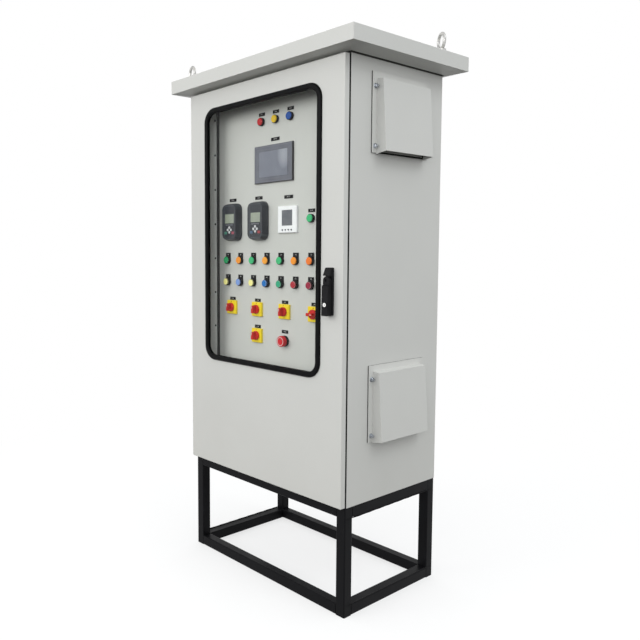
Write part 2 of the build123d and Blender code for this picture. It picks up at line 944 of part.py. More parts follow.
def door_panel():
    pan = block((-half_width, half_width), (door_front, door_back), (door_bottom, door_top))
    pan = fillet(pan.edges().group_by(Axis.Y)[0] + pan.edges().filter_by(Axis.Y), door_edge)
    inside = half_width - door_sheet
    inside_z = (door_bottom + door_sheet, door_top - door_sheet)
    pan -= block((-inside, inside), (door_front + door_sheet, door_back - door_sheet), inside_z)
    mouth = half_width - door_flange
    mouth_z = (door_bottom + door_flange, door_top - door_flange)
    pan -= block((-mouth, mouth), (door_back - 2 * door_sheet, door_back + overrun), mouth_z)
    hole_back = door_front + door_sheet + overrun
    pan -= along_y(window_outline(gasket_cover), door_front - overrun, hole_back)
    spindle_hole = spindle_radius + spindle_gap + door_sheet
    return pan - rod((handle_x, spindle_z), spindle_hole, door_front - overrun, hole_back)


def door_seal():
    ring_front = door_front + door_sheet
    ring_back = lip_front - running_gap
    outer_half = seal_inner_half + seal_width
    reach = seal_width / 2 - sheet / 2
    clear_z = (opening_bottom + reach, opening_top - reach)
    outer_z = (clear_z[0] - seal_width, clear_z[1] + seal_width)
    seal = block((-outer_half, outer_half), (ring_front, ring_back), outer_z)
    clear_y = (ring_front - overrun, ring_back + overrun)
    return seal - block((-seal_inner_half, seal_inner_half), clear_y, clear_z)


def window_gasket():
    sheet_back = door_front + door_sheet
    pane_back = door_front + pane_thickness
    pane_edge = gasket_width - gasket_cover
    bead = along_y(window_outline(0) - window_outline(gasket_width), door_front - gasket_proud, door_front)
    bead = fillet(bead.edges().group_by(Axis.Y)[0], gasket_round)
    web = along_y(window_outline(gasket_cover) - window_outline(pane_edge), door_front, pane_back)
    outer = along_y(window_outline(0) - window_outline(gasket_cover), sheet_back, pane_back)
    back = along_y(window_outline(0) - window_outline(gasket_width), pane_back, pane_back + gasket_back)
    return bead + web + outer + back


def window_pane():
    return along_y(window_outline(gasket_width - gasket_cover), door_front, door_front + pane_thickness)


# Lift-off hinges on the left side
def hinge_half(low, high, leaf_y):
    knuckle = along_z(Pos(hinge_x, hinge_y) * Circle(hinge_knuckle), low, high)
    return knuckle + block((-half_width - hinge_leaf, -half_width), leaf_y, (low, high))


def hinge_body_leaves():
    leaves = []
    for middle in hinge_middles:
        low = middle - hinge_length / 2
        leaf = hinge_half(low, middle, (hinge_y, hinge_y + hinge_leaf_width))
        pin = Pos(hinge_x, hinge_y) * Circle(hinge_pin)
        leaves.append(leaf + along_z(pin, middle, middle + hinge_length / 2))
    return leaves


def hinge_door_leaves():
    leaves = []
    for middle in hinge_middles:
        low = middle + running_gap
        high = middle + hinge_length / 2
        leaf = hinge_half(low, high, (hinge_y - hinge_leaf_width, hinge_y))
        bore = Pos(hinge_x, hinge_y) * Circle(hinge_pin + pin_gap)
        leaves.append(leaf - along_z(bore, low - overrun, high + overrun))
    return leaves


# Swing handle: base on the door, spindle with cam, lever that lifts and turns, lock cylinder
def handle_base_node():
    middle = (handle_x, handle_middle)
    base = along_y(rounded(middle, handle_width, handle_length, handle_corner), base_face, door_front)
    head_low = handle_high - head_length
    slope = Polyline(
        (base_face, head_low),
        (door_front - head_height, head_low),
        (door_front - head_tip_height, handle_high),
        (base_face, handle_high),
        close=True,
    )
    head = along_x(make_face(slope), handle_x - handle_width / 2, handle_x + handle_width / 2)
    head = fillet(head.edges().filter_by(Axis.Y).group_by(Axis.Z)[-1], lever_corner)
    base += head
    spindle = (handle_x, spindle_z)
    return base - rod(spindle, spindle_radius + spindle_gap, door_front - head_height, door_front + overrun)


def handle_spindle():
    middle = (handle_x, spindle_z)
    cam_front = body_front + sheet + cam_behind
    cam_back = cam_front + cam_thickness
    head_back = base_face - running_gap
    shaft = rod(middle, spindle_radius, head_back, cam_back)
    head_front = base_face - spindle_head_height
    shaft += plate(middle, spindle_head, spindle_head, head_front, head_back)
    pin = Pos(lift_pin_y, spindle_z) * Circle(lift_pin)
    shaft += along_x(pin, handle_x - lever_round, handle_x + lever_round)
    cam = block((handle_x, handle_x + cam_reach), (cam_front, cam_back), span(spindle_z, cam_width))
    return shaft + cam + rod(middle, cam_width / 2, cam_front, cam_back)


def handle_lever():
    top = spindle_z + lever_round
    step = spindle_z + lever_round - lever_neck_length + head_length / 2
    side = Polyline(
        (lever_face, handle_low),
        (door_front - lever_tip, handle_low),
        (door_front - lever_grip, step),
        (door_front - lever_neck, step + lever_corner),
        (door_front - lever_neck, top),
        (lever_face, top),
        close=True,
    )
    lever = along_x(make_face(side), handle_x - lever_round, handle_x + lever_round)
    arm_middle = (handle_x, (handle_low + spindle_z) / 2)
    arm = rounded(arm_middle, lever_width, spindle_z - handle_low, lever_corner)
    square_top = Pos(handle_x, spindle_z - lever_round / 2) * Rectangle(lever_width, lever_round)
    outline = arm + square_top + Pos(handle_x, spindle_z) * Circle(lever_round)
    lever &= along_y(outline, door_front - lever_tip - overrun, door_front)
    slot_half = spindle_head / 2 + running_gap
    pin_axis = Pos(lift_pin_y, spindle_z)
    lever -= along_x(pin_axis * Circle(slot_round), handle_x - slot_half, handle_x + slot_half)
    slot_x = (handle_x - slot_half, handle_x + slot_half)
    lever -= block(slot_x, (lift_pin_y, lever_face + overrun), span(spindle_z, 2 * slot_round))
    across = span(handle_x, 2 * handle_width)
    lever -= along_x(pin_axis * Circle(lift_pin + pin_gap), *across)
    relief_top = top + overrun
    relief_depth = (relief_top - spindle_z) * tan(radians(lift_relief))
    corners = ((lever_face, spindle_z), (lever_face, relief_top), (lever_face - relief_depth, relief_top))
    lever -= along_x(make_face(Polyline(*corners, close=True)), *across)
    lock_front = door_front - lever_tip - overrun
    return lever - rod(lock_place(), lock_radius + pin_gap, lock_front, lock_back())


def lock_place():
    return (handle_x, handle_low + lock_up)


def lock_back():
    return door_front - lever_grip + lock_depth


def lock_cylinder():
    front = door_front - lever_tip - lock_proud
    cylinder = rod(lock_place(), lock_radius, front, lock_back() - running_gap)
    keyway = plate(lock_place(), keyway_width, keyway_length, front - overrun, front + lock_radius)
    return cylinder - keyway


# Equipment behind the inner panel
def plate_front():
    return body_back - sheet - plate_standoff


def mounting_plate():
    half = half_width - plate_side_gap
    height = (body_bottom + plate_end_gap, body_top - plate_end_gap)
    whole = block((-half, half), (plate_front(), plate_front() + sheet), height)
    for x in both_sides(half - sheet, half):
        whole += block(x, (plate_front(), body_back - sheet), height)
    return whole


def rail_rows():
    low = body_bottom + plate_end_gap
    span = cabinet_height - 2 * plate_end_gap
    return [low + share * span for share in rail_row_shares]


def rail_half_length():
    return half_width - plate_side_gap - rail_35_side_gap


def mounting_rails():
    back = plate_front()
    front = back - rail_35_height
    half = rail_half_length()
    rails = []
    for z in rail_rows():
        brim = block((-half, half), (front, front + rail_35_wall), span(z, rail_35_width))
        crown = block((-half, half), (front, back), span(z, rail_35_web))
        inside_x = (-half - overrun, half + overrun)
        inside_z = span(z, rail_35_web - 2 * rail_35_wall)
        inside = block(inside_x, (front - overrun, back - rail_35_wall), inside_z)
        rails.append(brim + crown - inside)
    return rails


def switchgear():
    back = plate_front() - rail_35_height
    front = back - module_depth
    count = int(2 * rail_half_length() // module_pitch)
    modules = []
    for z in rail_rows():
        for i in range(count):
            x = module_pitch * (i - (count - 1) / 2)
            width = span(x, module_width)
            body = block(width, (front + module_nose_out, back), span(z, module_height))
            nose = block(width, (front, front + module_nose_out), span(z, module_nose))
            modules.append(body + nose)
    return modules


# One file for each node
nodes = {
    "stand_legs": stand_legs(),
    "stand_rails": stand_rails(),
    "floor_plate": [floor_plate()],
    "gland_plate": [gland_plate()],
    "side_panel_left": [side_panel_left()],
    "side_panel_right": [side_panel_right()],
    "back_panel": [back_panel()],
    "top_plate": [top_plate()],
    "front_frame": [front_frame()],
    "roof_canopy": [roof_canopy()],
    "roof_rails": roof_rails(),
    "lifting_eyes": lifting_eyes(),
    "vent_cowls": vent_cowls(),
    "vent_gaskets": vent_gaskets(),
    "fan_frame": [fan_frame()],
    "fan_rotor": [fan_rotor()],
    "intake_filter": [intake_filter()],
    "panel_uprights": panel_uprights(),
    "panel_edge_seals": panel_edge_seals(),
    "inner_panel": [inner_panel()],
    "lamp_bezels": lamp_bezels(),
    "lamp_lenses": lamp_lenses(),
    "button_bezels": button_bezels(),
    "label_plates": label_plates(),
    "touch_screen_case": [touch_screen_case()],
    "touch_screen_glass": [touch_screen_glass()],
    "keypad_housings": keypad_housings(),
    "display_windows": display_windows(),
    "panel_keys": panel_keys(),
    "meter_case": [meter_case()],
    "switch_plates": switch_plates(),
    "stop_collar": [stop_collar_node()],
    "stop_plunger": [stop_plunger()],
    "stop_head": [stop_head()],
    "door_panel": [door_panel()],
    "door_seal": [door_seal()],
    "window_gasket": [window_gasket()],
    "window_pane": [window_pane()],
    "hinge_body_leaves": hinge_body_leaves(),
    "hinge_door_leaves": hinge_door_leaves(),
    "handle_base": [handle_base_node()],
    "handle_spindle": [handle_spindle()],
    "handle_lever": [handle_lever()],
    "lock_cylinder": [lock_cylinder()],
    "mounting_plate": [mounting_plate()],
    "mounting_rails": mounting_rails(),
    "switchgear": switchgear(),
}
for number, place in enumerate(buttons, 1):
    nodes[f"button_{number}"] = [button(place)]
for number, place in enumerate(switches, 1):
    quarter_turn = 90 if number == 4 else 0  # the fourth selector stands turned across
    nodes[f"switch_knob_{number}"] = [switch_knob(place, quarter_turn)]

os.makedirs("parts", exist_ok=True)
for name, pieces in nodes.items():
    solids = [solid for piece in pieces for solid in piece.solids()]
    export_step(Compound(solids), f"parts/{name}.step")
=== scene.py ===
from math import cos, pi, sin

import bmesh
import bpy
from mathutils import Matrix, Vector


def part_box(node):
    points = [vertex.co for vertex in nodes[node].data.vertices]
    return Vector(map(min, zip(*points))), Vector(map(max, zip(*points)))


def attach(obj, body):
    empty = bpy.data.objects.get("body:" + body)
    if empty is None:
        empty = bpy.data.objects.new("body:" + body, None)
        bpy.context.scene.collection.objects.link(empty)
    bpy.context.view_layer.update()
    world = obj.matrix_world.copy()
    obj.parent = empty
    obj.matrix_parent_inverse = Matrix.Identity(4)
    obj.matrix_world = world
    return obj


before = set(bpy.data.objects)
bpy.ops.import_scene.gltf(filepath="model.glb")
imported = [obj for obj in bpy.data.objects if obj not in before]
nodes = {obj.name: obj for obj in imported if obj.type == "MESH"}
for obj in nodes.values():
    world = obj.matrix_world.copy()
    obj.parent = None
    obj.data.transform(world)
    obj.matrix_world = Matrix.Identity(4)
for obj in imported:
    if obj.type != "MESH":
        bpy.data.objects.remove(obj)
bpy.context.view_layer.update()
scene = bpy.context.scene
print("stage: frame loaded with", len(nodes), "nodes")


class Wire:  # one shader socket, with maths written as plain expressions
    def __init__(self, tree, socket=None):
        self.tree = tree
        self.socket = socket

    def add(self, kind, settings=None, sockets=None, out=0):
        made = self.tree.nodes.new(kind)
        for name, value in (settings or {}).items():  # settings come first, they can change the sockets
            if name == "stops":
                setStops(made.color_ramp, value)
            else:
                setattr(made, name, value)
        for key, value in (sockets or {}).items():
            self.plug(made.inputs[key], value)
        return Wire(self.tree, made.outputs[out])

    def plug(self, target, value):
        if isinstance(value, Wire):
            self.tree.links.new(value.socket, target)
        else:
            target.default_value = value

    def maths(self, operation, first, second):
        return self.add("ShaderNodeMath", {"operation": operation}, {0: first, 1: second})

    def __add__(self, other):
        return self.maths("ADD", self, other)

    def __radd__(self, other):
        return self.maths("ADD", other, self)

    def __sub__(self, other):
        return self.maths("SUBTRACT", self, other)

    def __rsub__(self, other):
        return self.maths("SUBTRACT", other, self)

    def __mul__(self, other):
        return self.maths("MULTIPLY", self, other)

    def __rmul__(self, other):
        return self.maths("MULTIPLY", other, self)

    def __gt__(self, other):
        return self.maths("GREATER_THAN", self, other)

    def __lt__(self, other):
        return self.maths("LESS_THAN", self, other)

    def __abs__(self):
        return self.maths("ABSOLUTE", self, 0)


def setStops(ramp, stops):
    while len(ramp.elements) < len(stops):
        ramp.elements.new(1)
    for element, (place, colour) in zip(ramp.elements, stops):
        element.position = place
        element.color = (*colour, 1)


def newFinish(name, **fixed):
    material = bpy.data.materials.new(name)
    material.use_nodes = True
    shader = material.node_tree.nodes["Principled BSDF"]
    for key, value in fixed.items():
        shader.inputs[key].default_value = value
    return material, shader, Wire(material.node_tree)


def objectPlace(wire):
    return wire.add("ShaderNodeTexCoord", out="Object")


def axes(wire, place):
    return [wire.add("ShaderNodeSeparateXYZ", None, {0: place}, out=i) for i in range(3)]


def noise(wire, place, scale, detail=2.0, roughness=0.5):
    return wire.add("ShaderNodeTexNoise", None,
                    {"Vector": place, "Scale": scale, "Detail": detail, "Roughness": roughness})


def mixColour(wire, factor, first, second):
    def asColour(value):
        return value if isinstance(value, Wire) else (*value, 1)
    return wire.add("ShaderNodeMix", {"data_type": "RGBA"},
                    {0: factor, 6: asColour(first), 7: asColour(second)}, out=2)


def remap(wire, value, low, high, newLow, newHigh):
    return wire.add("ShaderNodeMapRange", {"clamp": True},
                    {"Value": value, "From Min": low, "From Max": high,
                     "To Min": newLow, "To Max": newHigh})


def vary(wire, target, value, low, high, newLow, newHigh):
    wire.plug(target, remap(wire, value, low, high, newLow, newHigh))


def bump(wire, height, strength, distance):
    return wire.add("ShaderNodeBump", None, {"Height": height, "Strength": strength, "Distance": distance})


def dress(nodeName, material):
    mesh = nodes[nodeName].data
    mesh.materials.clear()
    mesh.materials.append(material)


def islands(nodeName):
    # low and high corners of each loose part of a node
    work = bmesh.new()
    work.from_mesh(nodes[nodeName].data)
    bmesh.ops.remove_doubles(work, verts=work.verts, dist=1e-6)
    left = set(work.verts)
    boxes = []
    while left:
        queue = [left.pop()]
        low, high = queue[0].co.copy(), queue[0].co.copy()
        while queue:
            vert = queue.pop()
            low = Vector(map(min, low, vert.co))
            high = Vector(map(max, high, vert.co))
            beside = {edge.other_vert(vert) for edge in vert.link_edges} & left
            left -= beside
            queue.extend(beside)
        boxes.append((low, high))
    work.free()
    return boxes


# Powder coated sheet steel
coatShine = 0.3
# painted shade: dark lines in the door joint and just below the canopy
jointShadeSettings = {"edge": 0.0015, "shownFrom": 0.390, "colour": (0.022, 0.022, 0.021),
                  "canopyShadeDrop": 0.003, "canopyShadeLine": (0.06, 0.06, 0.056)}
lowDarkSettings = {"low": 0.36, "high": 0.75, "most": 0.35, "colour": (0.50, 0.48, 0.43)}
coatSettings = {
    "warmGrey": {"colour": (0.640, 0.640, 0.615), "shade": (0.580, 0.580, 0.558),
                 "grain": 420, "roughness": 0.46},
    # painted light: a lighter copy of the grey paint for the panel uprights, standing in for light that
    # reaches them
    "uprightGrey": {"colour": (0.840, 0.845, 0.820), "shade": (0.790, 0.795, 0.770),
                    "grain": 520, "roughness": 0.42},
    "panelGrey": {"colour": (0.610, 0.615, 0.585), "shade": (0.560, 0.565, 0.540),
                  "grain": 520, "roughness": 0.42},
}


def powderCoat(name, shadedJoint=None):
    # the second argument holds the y range of the joint between door and body, whose edges get painted
    # shade
    # painted shade also runs as a thin dark line on the walls just below the canopy
    coat = coatSettings[name]
    title = name + "Rebate" if shadedJoint else name
    material, shader, wire = newFinish(title, **{"Specular IOR Level": coatShine})
    place = objectPlace(wire)
    cloud = noise(wire, place, 3.0, 3.0)
    grain = noise(wire, place, coat["grain"], 2.0, 0.6)
    across, depth, height = axes(wire, place)
    # the coat turns darker and browner towards the bottom, in cloudy patches
    lowDarkening = remap(wire, height, lowDarkSettings["low"], lowDarkSettings["high"], lowDarkSettings["most"], 0)
    mottle = remap(wire, cloud * 0.55 + grain * 0.45, 0.35, 0.65, 0, 0.45)
    colour = mixColour(wire, mottle, coat["colour"], coat["shade"])
    colour = mixColour(wire, lowDarkening * cloud, colour, lowDarkSettings["colour"])
    if shadedJoint:
        edge = jointShadeSettings["edge"]
        facing = axes(wire, wire.add("ShaderNodeTexCoord", out="Normal"))[1]
        front = (facing < -0.5) * (abs(across) > jointShadeSettings["shownFrom"])
        shown = wire.maths("MAXIMUM", abs(facing) < 0.5, front)  # what the open slot shows from outside
        # painted shade: the edges of the door joint are painted dark
        jointShade = (depth > shadedJoint[0] - edge) * (depth < shadedJoint[1] + edge) * shown
        # painted shade: a thin dark line just below the canopy
        canopyShadeLine = (height > canopyLow - jointShadeSettings["canopyShadeDrop"]) * (depth > shadedJoint[0])
        colour = mixColour(wire, canopyShadeLine, colour, jointShadeSettings["canopyShadeLine"])
        colour = mixColour(wire, jointShade, colour, jointShadeSettings["colour"])
    wire.plug(shader.inputs["Base Color"], colour)
    rough = coat["roughness"]
    vary(wire, shader.inputs["Roughness"], grain, 0.3, 0.7, rough - 0.06, rough + 0.06)
    wire.plug(shader.inputs["Normal"], bump(wire, grain, 0.22, 0.0006))
    return material


# Black satin paint on the stand
standSettings = {"colour": (0.006, 0.006, 0.007), "rub": (0.013, 0.014, 0.016),
                 "roughness": 0.42, "shine": 0.07}


def standPaint():
    material, shader, wire = newFinish("standBlack", **{"Specular IOR Level": standSettings["shine"]})
    place = objectPlace(wire)
    cloud = noise(wire, place, 9.0, 4.0)
    peel = noise(wire, place, 260, 2.0)
    scuff = remap(wire, cloud, 0.58, 0.78, 0, 0.8)
    colour = mixColour(wire, scuff, standSettings["colour"], standSettings["rub"])
    wire.plug(shader.inputs["Base Color"], colour)
    rough = standSettings["roughness"]
    vary(wire, shader.inputs["Roughness"], cloud, 0.3, 0.7, rough - 0.07, rough + 0.1)
    wire.plug(shader.inputs["Normal"], bump(wire, peel, 0.12, 0.0008))
    return material


# Zinc plate, galvanised sheet and chrome
metalSettings = {
    "zincPlate": {"colour": (0.60, 0.59, 0.56), "shade": (0.42, 0.42, 0.42),
                  "scale": 130, "roughness": 0.32},
    "boltSteel": {"colour": (0.52, 0.54, 0.57), "shade": (0.26, 0.28, 0.31),
                  "scale": 300, "roughness": 0.30},
    "spindleSteel": {"colour": (0.030, 0.030, 0.032), "shade": (0.018, 0.018, 0.020),
                     "scale": 300, "roughness": 0.45},
    "galvanised": {"colour": (0.56, 0.57, 0.58), "shade": (0.44, 0.45, 0.47),
                   "scale": 60, "roughness": 0.42},
    "lockChrome": {"colour": (0.93, 0.93, 0.91), "shade": (0.82, 0.82, 0.81),
                   "scale": 500, "roughness": 0.45},
}


def bareMetal(name):
    metal = metalSettings[name]
    material, shader, wire = newFinish(name, Metallic=1.0)
    place = objectPlace(wire)
    spangle = wire.add("ShaderNodeTexVoronoi", None,
                       {"Vector": place, "Scale": metal["scale"]}, out="Color")
    flake = wire.add("ShaderNodeSeparateColor", None, {0: spangle})
    smear = noise(wire, place, 40, 3.0)
    mix = remap(wire, flake * 0.6 + smear * 0.4, 0.2, 0.8, 0, 1)
    wire.plug(shader.inputs["Base Color"], mixColour(wire, mix, metal["colour"], metal["shade"]))
    rough = metal["roughness"]
    vary(wire, shader.inputs["Roughness"], mix, 0, 1, rough - 0.08, rough + 0.1)
    wire.plug(shader.inputs["Normal"], bump(wire, smear, 0.06, 0.0005))
    return material


# Rubber gaskets and moulded plastics
mouldSettings = {
    "gasketRubber": {"colour": (0.0022, 0.0022, 0.0026), "shade": (0.0045, 0.0045, 0.005),
                     "grain": 700, "roughness": 0.36, "shine": 0.07},
    "sealGrey": {"colour": (0.020, 0.021, 0.020), "shade": (0.030, 0.031, 0.030),
                 "grain": 700, "roughness": 0.5, "shine": 0.3},
    "handleBlack": {"colour": (0.004, 0.004, 0.005), "shade": (0.009, 0.009, 0.010),
                    "grain": 900, "roughness": 0.36, "shine": 0.12},
    "deviceBlack": {"colour": (0.004, 0.004, 0.005), "shade": (0.008, 0.008, 0.009),
                    "grain": 1100, "roughness": 0.45, "shine": 0.10},
    "labelBlack": {"colour": (0.003, 0.003, 0.004), "shade": (0.006, 0.006, 0.007),
                   "grain": 900, "roughness": 0.50, "shine": 0.10},
    "keypadSlate": {"colour": (0.020, 0.024, 0.031), "shade": (0.030, 0.035, 0.043),
                    "grain": 1200, "roughness": 0.40, "shine": 0.3},
    "meterWhite": {"colour": (0.94, 0.95, 0.96), "shade": (0.90, 0.91, 0.92),
                   "grain": 1000, "roughness": 0.38},
    "switchYellow": {"colour": (0.92, 0.71, 0.012), "shade": (0.86, 0.64, 0.010),
                     "grain": 900, "roughness": 0.35, "shine": 0.3},
    "knobRed": {"colour": (0.62, 0.022, 0.018), "shade": (0.50, 0.012, 0.010),
                "grain": 900, "roughness": 0.28, "shine": 0.14},
    "stopRed": {"colour": (0.62, 0.014, 0.022), "shade": (0.52, 0.010, 0.017),
                "grain": 900, "roughness": 0.26, "shine": 0.2},
    "switchgearGrey": {"colour": (0.45, 0.46, 0.47), "shade": (0.38, 0.39, 0.40),
                       "grain": 700, "roughness": 0.5},
    "fanBlack": {"colour": (0.016, 0.016, 0.017), "shade": (0.030, 0.030, 0.031),
                 "grain": 800, "roughness": 0.5},
    "markWhite": {"colour": (0.66, 0.66, 0.64), "shade": (0.58, 0.58, 0.56),
                  "grain": 900, "roughness": 0.5},
}


def mouldedPlastic(name):
    mould = mouldSettings[name]
    material, shader, wire = newFinish(name, **{"Specular IOR Level": mould.get("shine", 0.5)})
    place = objectPlace(wire)
    grain = noise(wire, place, mould["grain"], 2.0, 0.6)
    cloud = noise(wire, place, 25, 3.0)
    tone = remap(wire, cloud, 0.35, 0.65, 0, 1)
    wire.plug(shader.inputs["Base Color"], mixColour(wire, tone, mould["colour"], mould["shade"]))
    rough = mould["roughness"]
    vary(wire, shader.inputs["Roughness"], grain + cloud, 0.7, 1.3, rough - 0.05, rough + 0.07)
    wire.plug(shader.inputs["Normal"], bump(wire, grain, 0.10, 0.0003))
    return material


# Clear window pane
paneSettings = {"tint": (0.992, 0.996, 0.992, 1), "gloss": 0.35}


def windowGlass():
    material, shader, wire = newFinish("windowGlass")
    tree = material.node_tree
    clear = wire.add("ShaderNodeBsdfTransparent", None, {"Color": paneSettings["tint"]})
    gloss = wire.add("ShaderNodeBsdfGlossy", None, {"Color": (1, 1, 1, 1), "Roughness": 0.02})
    inside = wire.add("ShaderNodeNewGeometry", out="Backfacing")
    mirror = wire.add("ShaderNodeFresnel", None, {"IOR": 1.45}) * (1 - inside) * paneSettings["gloss"]
    mixed = wire.add("ShaderNodeMixShader", None, {0: mirror, 1: clear, 2: gloss})
    tree.links.new(mixed.socket, tree.nodes["Material Output"].inputs["Surface"])
    tree.nodes.remove(shader)
    return material


# Lamp lenses and push button caps
columnPitch = 0.075
lensSettings = {
    "green": (0.045, 0.50, 0.19), "deepGreen": (0.020, 0.34, 0.12), "orange": (0.95, 0.32, 0.025),
    "amber": (0.95, 0.38, 0.035), "orangeRed": (0.92, 0.20, 0.018), "red": (0.52, 0.010, 0.014),
    "yellow": (0.78, 0.52, 0.015), "blue": (0.004, 0.070, 0.34),
    "signalRow": ("deepGreen", "orange", "green", "amber", "green", "orange", "orangeRed", "green"),
    "phaseRow": ("red", "yellow", "blue"), "aboveButtons": 0.15, "aboveMeter": 0.1,
}


def pickByColumn(wire, across, firstEdge, names):
    colour = lensSettings[names[0]]
    for i, name in enumerate(names[1:]):
        colour = mixColour(wire, across > firstEdge + i * columnPitch, colour, lensSettings[name])
    return colour


def lampLens(signalTop, greenLampZ):
    material, shader, wire = newFinish("lampLens", **{"Roughness": 0.24, "Specular IOR Level": 0.2})
    place = objectPlace(wire)
    across, _, up = axes(wire, place)
    signals = pickByColumn(wire, across, -3 * columnPitch, lensSettings["signalRow"])
    phases = pickByColumn(wire, across, -0.5 * columnPitch, lensSettings["phaseRow"])
    colour = mixColour(wire, up > signalTop, signals, lensSettings["green"])
    colour = mixColour(wire, up > greenLampZ, colour, phases)
    ribs = wire.add("ShaderNodeTexWave", {"wave_type": "BANDS", "bands_direction": "X"},
                    {"Vector": place, "Scale": 90.0})
    wire.plug(shader.inputs["Base Color"], colour)
    vary(wire, shader.inputs["Coat Weight"], noise(wire, place, 60), 0.3, 0.7, 0.02, 0.12)
    wire.plug(shader.inputs["Normal"], bump(wire, ribs, 0.12, 0.0004))
    return material


capSettings = {
    "paleYellow": (0.95, 0.89, 0.32), "paleBlue": (0.21, 0.35, 0.74), "blue": (0.006, 0.16, 0.50),
    "green": (0.020, 0.38, 0.20), "red": (0.44, 0.014, 0.030), "crimson": (0.32, 0.010, 0.042),
    "row": ("paleYellow", "paleBlue", "paleYellow", "blue", "green", "red", "crimson", "red"),
    "rim": (0.50, 0.49, 0.46), "faceRadius": 0.0116, "flankShadeShare": 0.35, "deepShare": 0.82,
}


def buttonCap(name, colour, centre):
    material, shader, wire = newFinish(name, **{"Roughness": 0.24, "Specular IOR Level": 0.2})
    place = objectPlace(wire)
    across, _, up = axes(wire, place)
    side = across - centre[0]
    rise = up - centre[2]
    face = side * side + rise * rise < capSettings["faceRadius"] ** 2
    facing = axes(wire, wire.add("ShaderNodeNewGeometry", out="Normal"))[1] < -0.5
    tone = remap(wire, noise(wire, place, 160, 2.0), 0.35, 0.65, 0.86, 1.0)
    deepColour = tuple(c * capSettings["deepShare"] for c in colour)
    tint = mixColour(wire, tone, deepColour, colour)
    # painted shade: the cap's sides take a darker copy of its colour
    shadedFlank = tuple(c * capSettings["flankShadeShare"] for c in colour)
    rim = tuple((c + grey) / 2 for c, grey in zip(colour, capSettings["rim"]))
    edge = mixColour(wire, facing, shadedFlank, rim)
    wire.plug(shader.inputs["Base Color"], mixColour(wire, face, edge, tint))
    wire.plug(shader.inputs["Coat Weight"], tone * 0.12)
    wire.plug(shader.inputs["Normal"], bump(wire, face, 0.3, 0.0006))
    return material


# Screens and keys
screenSettings = {
    "touch": {"area": (0.075, 0.047), "inside": (0.148, 0.162, 0.210), "border": (0.112, 0.117, 0.145),
              "sides": (0.006, 0.006, 0.008), "line": 0.0016, "edge": 0.0024,
              "glint": (0.056, 0.030), "glintReach": 0.034, "glintColour": (0.38, 0.40, 0.45)},
    "display": {"lit": (0.31, 0.35, 0.27), "dark": (0.100, 0.108, 0.128)},
}


def touchGlass(centre):
    touch = screenSettings["touch"]
    material, shader, wire = newFinish("touchGlass", Roughness=0.09)
    place = objectPlace(wire)
    across, _, up = axes(wire, place)
    wide = abs(across - centre[0])
    tall = abs(up - centre[2])
    inside = (wide < touch["area"][0]) * (tall < touch["area"][1])
    outer = (wide < touch["area"][0] + touch["line"]) * (tall < touch["area"][1] + touch["line"])
    smudge = remap(wire, noise(wire, place, 14, 3.0), 0.35, 0.65, 0, 0.25)
    colour = mixColour(wire, inside, touch["border"], touch["inside"])
    colour = mixColour(wire, (outer - inside) * 0.8, colour, (0.04, 0.045, 0.055))
    colour = mixColour(wire, smudge, colour, (0.24, 0.26, 0.31))
    # painted reflection: a pale patch towards the upper right of the screen
    right = across - (centre[0] + touch["glint"][0])
    above = (up - (centre[2] + touch["glint"][1])) * 0.6
    glint = remap(wire, right * right + above * above, 0, touch["glintReach"] ** 2, 0.7, 0)
    colour = mixColour(wire, glint * inside, colour, touch["glintColour"])
    wire.plug(shader.inputs["Base Color"], colour)
    wire.plug(shader.inputs["Coat Weight"], inside * 0.5)
    return material


def displayGlass(meterLeft):
    display = screenSettings["display"]
    material, shader, wire = newFinish("displayGlass", Roughness=0.14)
    place = objectPlace(wire)
    across, _, up = axes(wire, place)
    isMeter = across > meterLeft
    cloud = remap(wire, noise(wire, place, 30, 2.0), 0.35, 0.65, 0, 0.3)
    colour = mixColour(wire, isMeter, display["lit"], display["dark"])
    colour = mixColour(wire, cloud, colour, (0.20, 0.22, 0.21))
    wire.plug(shader.inputs["Base Color"], colour)
    wire.plug(shader.inputs["Coat Weight"], 0.3 + cloud)
    return material


keySettings = {
    "outerFrom": 0.0138, "smallDown": 0.014, "startDown": 0.0365,
    "arrow": (0.62, 0.63, 0.64), "small": (0.16, 0.17, 0.19), "meter": (0.045, 0.047, 0.055),
    "start": ((0.04, 0.20, 0.14), (0.06, 0.12, 0.20)), "stop": ((0.33, 0.06, 0.09), (0.32, 0.04, 0.05)),
}


def panelKeys(centres, meterLeft, smallLow, startHigh):
    material, shader, wire = newFinish("panelKeys", Roughness=0.42)
    place = objectPlace(wire)
    across, _, up = axes(wire, place)
    second = across > (centres[0] + centres[1]) / 2
    start = mixColour(wire, second, *keySettings["start"])
    stop = mixColour(wire, second, *keySettings["stop"])
    fromFirst = across - centres[0]
    fromSecond = across - centres[1]
    offset = fromFirst + second * (fromSecond - fromFirst)
    outer = abs(offset) > keySettings["outerFrom"]
    lowRow = mixColour(wire, offset > 0, start, stop)
    colour = mixColour(wire, outer * (up < startHigh), keySettings["arrow"], lowRow)
    colour = mixColour(wire, up > smallLow, colour, keySettings["small"])
    colour = mixColour(wire, across > meterLeft, colour, keySettings["meter"])
    grain = noise(wire, place, 900, 2.0)
    wire.plug(shader.inputs["Base Color"], colour)
    wire.plug(shader.inputs["Normal"], bump(wire, grain, 0.08, 0.0003))
    return material


overlaySettings = {"half": (0.031, 0.061), "line": 0.0012, "gloss": 0.28,
                   "film": (0.021, 0.025, 0.033), "edgeHighlightColour": (0.085, 0.092, 0.105)}


